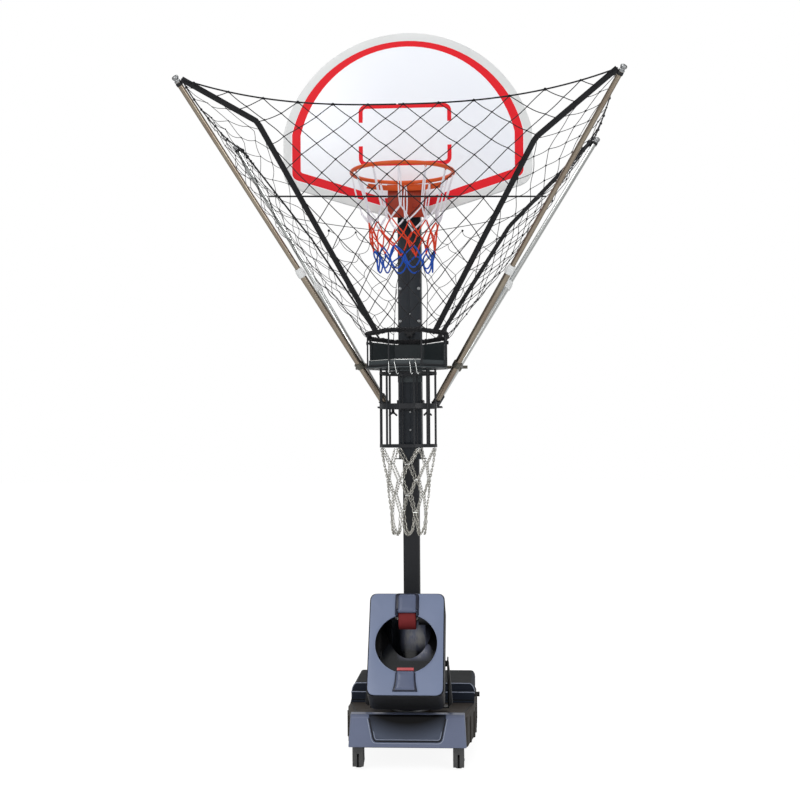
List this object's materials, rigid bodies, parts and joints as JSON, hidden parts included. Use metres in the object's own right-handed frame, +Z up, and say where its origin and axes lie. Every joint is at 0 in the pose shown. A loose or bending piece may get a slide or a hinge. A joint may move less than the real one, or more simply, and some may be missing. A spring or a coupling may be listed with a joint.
{
  "type": "basketball shooting machine",
  "caption": "Wheeled ball thrower with a height-adjustable hoop and fan board, a funnel net on telescopic arms, a ball cage and a turning throwing head.",
  "frame": {"origin": "point on the floor below the middle of the whole machine", "axes": "+Z up, -Y towards the player (the throwing side), +X to the right seen from the player"},
  "size_m": [1.998, 1.4295, 3.524],
  "materials": {
    "black_steel": "satin black powder coat",
    "cover_plastic": "moulded charcoal plastic with a soft gloss",
    "face_plastic": "moulded blue-grey plastic with a soft gloss",
    "black_plastic": "moulded black plastic",
    "battery_case": "battery case",
    "pale_plastic": "pale grey moulded plastic",
    "nylon": "natural nylon",
    "board_sheet": "white board with a red border and target box",
    "orange_steel": "orange powder coat",
    "hoop_cord": "braided cord, white over red over blue",
    "zinc": "zinc plated sheet",
    "chain_steel": "bright plated chain",
    "motor_steel": "motor housing",
    "red_rubber": "red throwing rubber",
    "smoked_plastic": "smoked plastic",
    "tyre": "black caster tyre",
    "chrome": "chromed tube",
    "net_cord": "black knotted cord and webbing"
  },
  "bodies": {
    "base": {"chassis": "black_steel", "base_tub": "cover_plastic", "base_cover": "cover_plastic", "front_bumper": "cover_plastic", "battery": "battery_case", "control_box": "pale_plastic", "mast": "black_steel", "mast_socket": "black_steel", "slide_pad_upper": "nylon", "rear_bracket_left": "black_steel", "rear_bracket_right": "black_steel", "yaw_motor": "motor_steel", "bearing_ring": "zinc"},
    "power_knob": {"power_knob": "black_plastic"},
    "front_caster_left": {"front_fork_left": "black_steel"},
    "front_caster_right": {"front_fork_right": "black_steel"},
    "front_wheel_left": {"front_wheel_left": "tyre"},
    "front_wheel_right": {"front_wheel_right": "tyre"},
    "rear_wheel_left": {"rear_wheel_left": "tyre"},
    "rear_wheel_right": {"rear_wheel_right": "tyre"},
    "hoop": {"hoop_post": "black_steel", "slide_pad_lower": "nylon", "backboard": "board_sheet", "board_edge": "pale_plastic", "board_frame": "black_steel", "rim": "orange_steel", "rim_bracket": "orange_steel", "hoop_net": "hoop_cord", "net_ring": "black_steel", "basket_panel": "black_plastic", "cage_shelf": "zinc", "ball_cage": "black_steel", "chain_net": "chain_steel", "arm_foot_bracket": "black_steel", "stay_bar": "black_steel", "arm_sleeve_fl": "chrome", "arm_sleeve_fr": "chrome", "arm_sleeve_rl": "chrome", "arm_sleeve_rr": "chrome", "net_fl": "net_cord", "net_fr": "net_cord", "net_rl": "net_cord", "net_rr": "net_cord"},
    "lock_knob": {"lock_knob": "black_plastic"},
    "arm_fl": {"arm_rod_fl": "chrome"},
    "arm_fr": {"arm_rod_fr": "chrome"},
    "arm_rl": {"arm_rod_rl": "chrome"},
    "arm_rr": {"arm_rod_rr": "chrome"},
    "head_base": {"turntable": "black_steel", "head_yoke": "black_steel"},
    "head": {"head_face": "face_plastic", "head_shell": "black_plastic", "ball_chute": "smoked_plastic", "wheel_motor_upper": "motor_steel", "wheel_motor_lower": "motor_steel"},
    "upper_wheel": {"throwing_wheel_upper": "red_rubber"},
    "lower_wheel": {"throwing_wheel_lower": "red_rubber"}
  },
  "joints": [
    {"name": "hoop_lift", "type": "slide", "parent": "base", "child": "hoop", "axis": [0, 0, 1], "range_m": [-0.2, 0.15]},
    {"name": "lock_knob_turn", "type": "hinge", "parent": "hoop", "child": "lock_knob", "pos_m": [0, 0.108, 2.06], "axis": [0, 1, 0], "range_deg": [0, 360]},
    {"name": "arm_fl_slide", "type": "slide", "parent": "hoop", "child": "arm_fl", "axis": [0.4656, 0.4261, -0.7757], "range_m": [0, 0.55], "deforming": ["net_fl"]},
    {"name": "arm_fr_slide", "type": "slide", "parent": "hoop", "child": "arm_fr", "axis": [-0.4656, 0.4261, -0.7757], "range_m": [0, 0.55], "deforming": ["net_fr"]},
    {"name": "arm_rl_slide", "type": "slide", "parent": "hoop", "child": "arm_rl", "axis": [0.4892, -0.3109, -0.8149], "range_m": [0, 0.55], "deforming": ["net_rl"]},
    {"name": "arm_rr_slide", "type": "slide", "parent": "hoop", "child": "arm_rr", "axis": [-0.4892, -0.3109, -0.8149], "range_m": [0, 0.55], "deforming": ["net_rr"]},
    {"name": "head_yaw", "type": "hinge", "parent": "base", "child": "head_base", "pos_m": [0, -0.022, 0.25], "axis": [0, 0, 1], "range_deg": [-50, 50]},
    {"name": "head_pitch", "type": "hinge", "parent": "head_base", "child": "head", "pos_m": [0, -0.162, 0.48], "axis": [-1, 0, 0], "range_deg": [-6, 6]},
    {"name": "upper_wheel_spin", "type": "hinge", "parent": "head", "child": "upper_wheel", "pos_m": [0, -0.20331, 0.6989], "axis": [1, 0, 0], "continuous": true},
    {"name": "lower_wheel_spin", "type": "hinge", "parent": "head", "child": "lower_wheel", "pos_m": [0, -0.35091, 0.41924], "axis": [1, 0, 0], "continuous": true},
    {"name": "power_knob_turn", "type": "hinge", "parent": "base", "child": "power_knob", "pos_m": [0.304, 0.168, 0.275], "axis": [1, 0, 0], "range_deg": [0, 90]},
    {"name": "front_swivel_left", "type": "hinge", "parent": "base", "child": "front_caster_left", "pos_m": [-0.234, -0.217, 0.11], "axis": [0, 0, 1], "continuous": true},
    {"name": "front_roll_left", "type": "hinge", "parent": "front_caster_left", "child": "front_wheel_left", "pos_m": [-0.234, -0.193, 0.03966], "axis": [1, 0, 0], "continuous": true},
    {"name": "rear_roll_left", "type": "hinge", "parent": "base", "child": "rear_wheel_left", "pos_m": [-0.262, 0.398, 0.04462], "axis": [1, 0, 0], "continuous": true},
    {"name": "front_swivel_right", "type": "hinge", "parent": "base", "child": "front_caster_right", "pos_m": [0.234, -0.217, 0.11], "axis": [0, 0, 1], "continuous": true},
    {"name": "front_roll_right", "type": "hinge", "parent": "front_caster_right", "child": "front_wheel_right", "pos_m": [0.234, -0.193, 0.03966], "axis": [1, 0, 0], "continuous": true},
    {"name": "rear_roll_right", "type": "hinge", "parent": "base", "child": "rear_wheel_right", "pos_m": [0.262, 0.398, 0.04462], "axis": [1, 0, 0], "continuous": true}
  ]
}
